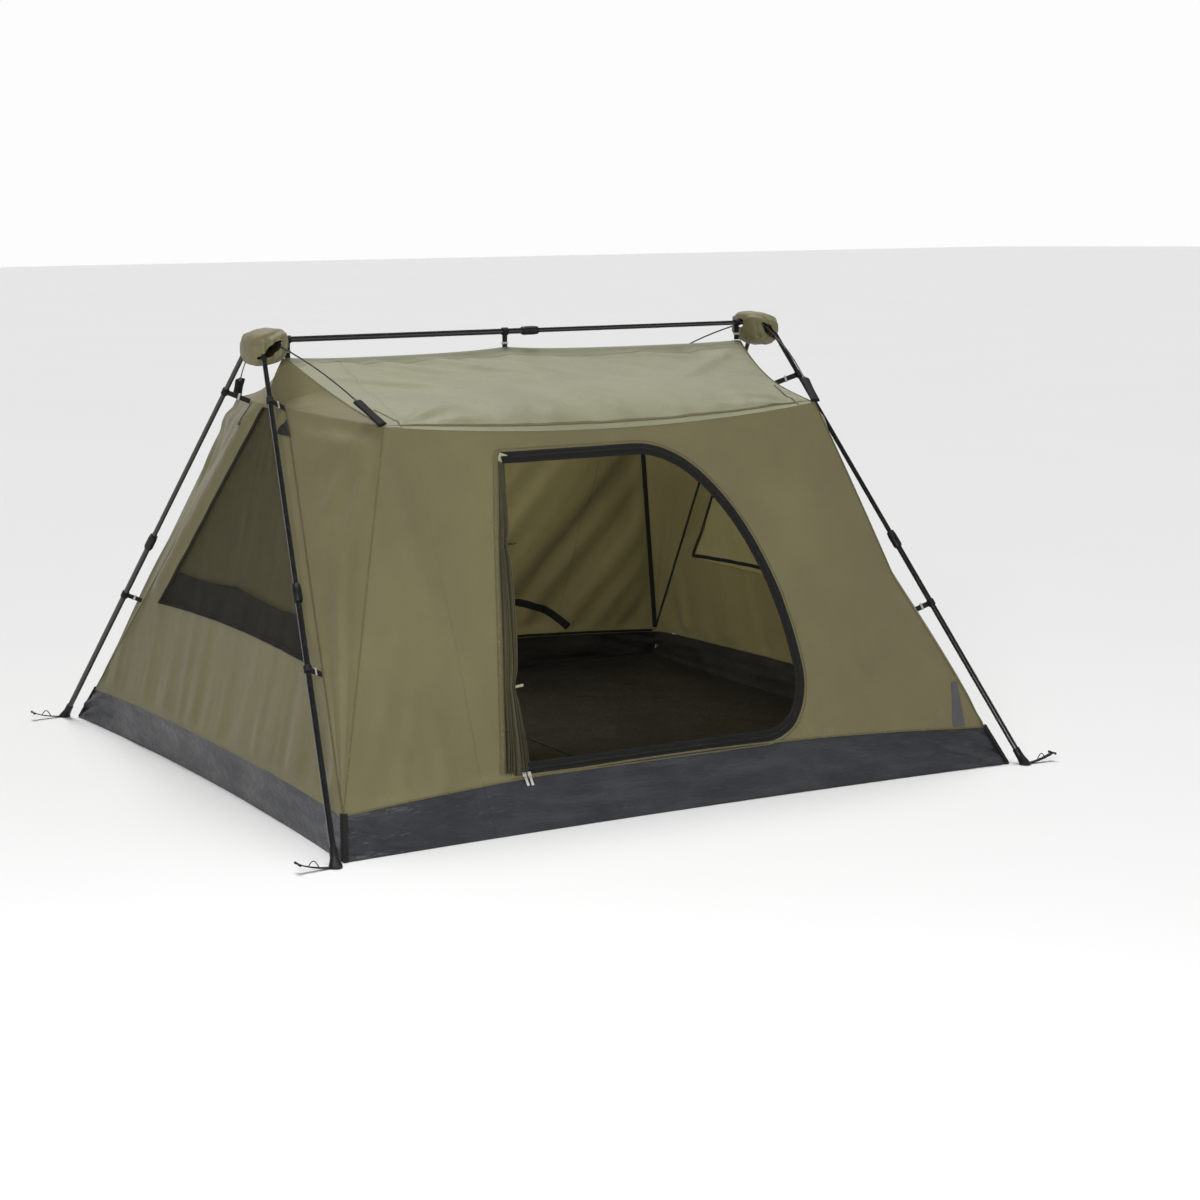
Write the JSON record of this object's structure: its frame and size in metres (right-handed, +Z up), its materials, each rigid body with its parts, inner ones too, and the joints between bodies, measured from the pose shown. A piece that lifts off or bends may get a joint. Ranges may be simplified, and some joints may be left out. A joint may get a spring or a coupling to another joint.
{
  "type": "frame tent",
  "caption": "Ridge tent hung inside a telescopic outside frame with folding legs, with a D-shaped door, mesh end windows and a tub floor.",
  "frame": {"origin": "on the ground under the middle of the ridge pole", "axes": "+X along the ridge, +Z up, door side faces -Y"},
  "size_m": [2.726, 2.3552, 1.4285],
  "materials": {
    "canopy": "olive coated canvas, matt",
    "roof": "light olive coated canvas, slight sheen",
    "tub": "dark grey coated groundsheet fabric, semi-gloss",
    "mesh": "fine black insect mesh over an olive flap",
    "webbing": "black woven webbing",
    "tube": "black powder coat, glossy",
    "moulding": "black moulded plastic",
    "zip": "pale enamelled slider"
  },
  "bodies": {
    "canopy": {"hub_left": "moulding", "ridge_tube_outer": "tube", "ridge_collar": "moulding", "ridge_strap_left": "webbing", "ridge_strap_middle": "webbing", "hub_cover_left": "canopy", "roof": "roof", "front_wall": "canopy", "back_wall": "canopy", "end_wall_left": "canopy", "end_wall_right": "canopy", "tub": "tub", "window_mesh_left": "mesh", "window_mesh_right": "mesh", "door_flap": "canopy", "rear_port_zip": "webbing"},
    "right_end": {"hub_right": "moulding", "ridge_tube_inner": "tube", "ridge_strap_right": "webbing", "hub_cover_right": "canopy"},
    "ridge_button": {"ridge_button": "moulding"},
    "zip_slider": {"zip_slider": "zip"},
    "leg_front_left": {"leg_upper_front_left": "tube", "clip_upper_front_left": "webbing", "clip_lower_front_left": "webbing"},
    "leg_lower_front_left": {"leg_lower_front_left": "tube", "leg_collar_front_left": "moulding", "foot_front_left": "moulding", "peg_loop_front_left": "webbing"},
    "leg_button_front_left": {"leg_button_front_left": "moulding"},
    "eave_arm_front_left": {"eave_arm_front_left": "tube"},
    "leg_front_right": {"leg_upper_front_right": "tube", "clip_upper_front_right": "webbing", "clip_lower_front_right": "webbing"},
    "leg_lower_front_right": {"leg_lower_front_right": "tube", "leg_collar_front_right": "moulding", "foot_front_right": "moulding", "peg_loop_front_right": "webbing"},
    "leg_button_front_right": {"leg_button_front_right": "moulding"},
    "eave_arm_front_right": {"eave_arm_front_right": "tube"},
    "leg_back_left": {"leg_upper_back_left": "tube", "clip_upper_back_left": "webbing", "clip_lower_back_left": "webbing"},
    "leg_lower_back_left": {"leg_lower_back_left": "tube", "leg_collar_back_left": "moulding", "foot_back_left": "moulding", "peg_loop_back_left": "webbing"},
    "leg_button_back_left": {"leg_button_back_left": "moulding"},
    "eave_arm_back_left": {"eave_arm_back_left": "tube"},
    "leg_back_right": {"leg_upper_back_right": "tube", "clip_upper_back_right": "webbing", "clip_lower_back_right": "webbing"},
    "leg_lower_back_right": {"leg_lower_back_right": "tube", "leg_collar_back_right": "moulding", "foot_back_right": "moulding", "peg_loop_back_right": "webbing"},
    "leg_button_back_right": {"leg_button_back_right": "moulding"},
    "eave_arm_back_right": {"eave_arm_back_right": "tube"}
  },
  "joints": [
    {"name": "ridge_slide", "type": "slide", "parent": "canopy", "child": "right_end", "axis": [-1, 0, 0], "range_m": [0, 0.75]},
    {"name": "leg_fold_front_left", "type": "hinge", "parent": "canopy", "child": "leg_front_left", "pos_m": [-0.96, -0.044, 1.4], "axis": [1, 0, 0], "range_deg": [0, 36], "deforming": ["roof", "front_wall", "back_wall", "end_wall_left", "end_wall_right", "tub", "window_mesh_left", "window_mesh_right", "door_flap", "rear_port_zip", "hub_cover_left", "hub_cover_right"]},
    {"name": "eave_arm_fold_front_left", "type": "hinge", "parent": "canopy", "child": "eave_arm_front_left", "pos_m": [-0.96, -0.044, 1.4], "axis": [1, 0, 0], "range_deg": [0, 36]},
    {"name": "leg_slide_front_left", "type": "slide", "parent": "leg_front_left", "child": "leg_lower_front_left", "axis": [0.1557, 0.6151, 0.773], "range_m": [0, 0.55]},
    {"name": "leg_button_press_front_left", "type": "slide", "parent": "leg_lower_front_left", "child": "leg_button_front_left", "axis": [-0.1215, 0.7885, -0.6029], "range_m": [0, 0.0025], "stiffness_N_per_m": 800},
    {"name": "leg_fold_front_right", "type": "hinge", "parent": "right_end", "child": "leg_front_right", "pos_m": [0.96, -0.044, 1.4], "axis": [1, 0, 0], "range_deg": [0, 36]},
    {"name": "eave_arm_fold_front_right", "type": "hinge", "parent": "right_end", "child": "eave_arm_front_right", "pos_m": [0.96, -0.044, 1.4], "axis": [1, 0, 0], "range_deg": [0, 36]},
    {"name": "leg_slide_front_right", "type": "slide", "parent": "leg_front_right", "child": "leg_lower_front_right", "axis": [-0.1557, 0.6151, 0.773], "range_m": [0, 0.55]},
    {"name": "leg_button_press_front_right", "type": "slide", "parent": "leg_lower_front_right", "child": "leg_button_front_right", "axis": [0.1215, 0.7885, -0.6029], "range_m": [0, 0.0025], "stiffness_N_per_m": 800},
    {"name": "leg_fold_back_left", "type": "hinge", "parent": "canopy", "child": "leg_back_left", "pos_m": [-0.96, 0.044, 1.4], "axis": [-1, 0, 0], "range_deg": [0, 36]},
    {"name": "eave_arm_fold_back_left", "type": "hinge", "parent": "canopy", "child": "eave_arm_back_left", "pos_m": [-0.96, 0.044, 1.4], "axis": [-1, 0, 0], "range_deg": [0, 36]},
    {"name": "leg_slide_back_left", "type": "slide", "parent": "leg_back_left", "child": "leg_lower_back_left", "axis": [0.1557, -0.6151, 0.773], "range_m": [0, 0.55]},
    {"name": "leg_button_press_back_left", "type": "slide", "parent": "leg_lower_back_left", "child": "leg_button_back_left", "axis": [-0.1215, -0.7885, -0.6029], "range_m": [0, 0.0025], "stiffness_N_per_m": 800},
    {"name": "leg_fold_back_right", "type": "hinge", "parent": "right_end", "child": "leg_back_right", "pos_m": [0.96, 0.044, 1.4], "axis": [-1, 0, 0], "range_deg": [0, 36]},
    {"name": "eave_arm_fold_back_right", "type": "hinge", "parent": "right_end", "child": "eave_arm_back_right", "pos_m": [0.96, 0.044, 1.4], "axis": [-1, 0, 0], "range_deg": [0, 36]},
    {"name": "leg_slide_back_right", "type": "slide", "parent": "leg_back_right", "child": "leg_lower_back_right", "axis": [-0.1557, -0.6151, 0.773], "range_m": [0, 0.55]},
    {"name": "leg_button_press_back_right", "type": "slide", "parent": "leg_lower_back_right", "child": "leg_button_back_right", "axis": [0.1215, -0.7885, -0.6029], "range_m": [0, 0.0025], "stiffness_N_per_m": 800},
    {"name": "ridge_button_press", "type": "slide", "parent": "canopy", "child": "ridge_button", "axis": [0, 1, 0], "range_m": [0, 0.0025], "stiffness_N_per_m": 800},
    {"name": "zip_slide", "type": "slide", "parent": "leg_front_left", "child": "zip_slider", "axis": [1, 0, 0], "range_m": [0, 0.8]}
  ],
  "couplings": [
    {"joint": "eave_arm_fold_front_left", "follows": "leg_fold_front_left", "ratio": 1},
    {"joint": "leg_fold_front_right", "follows": "leg_fold_front_left", "ratio": 1},
    {"joint": "eave_arm_fold_front_right", "follows": "leg_fold_front_left", "ratio": 1},
    {"joint": "leg_fold_back_left", "follows": "leg_fold_front_left", "ratio": 1},
    {"joint": "eave_arm_fold_back_left", "follows": "leg_fold_front_left", "ratio": 1},
    {"joint": "leg_fold_back_right", "follows": "leg_fold_front_left", "ratio": 1},
    {"joint": "eave_arm_fold_back_right", "follows": "leg_fold_front_left", "ratio": 1}
  ]
}
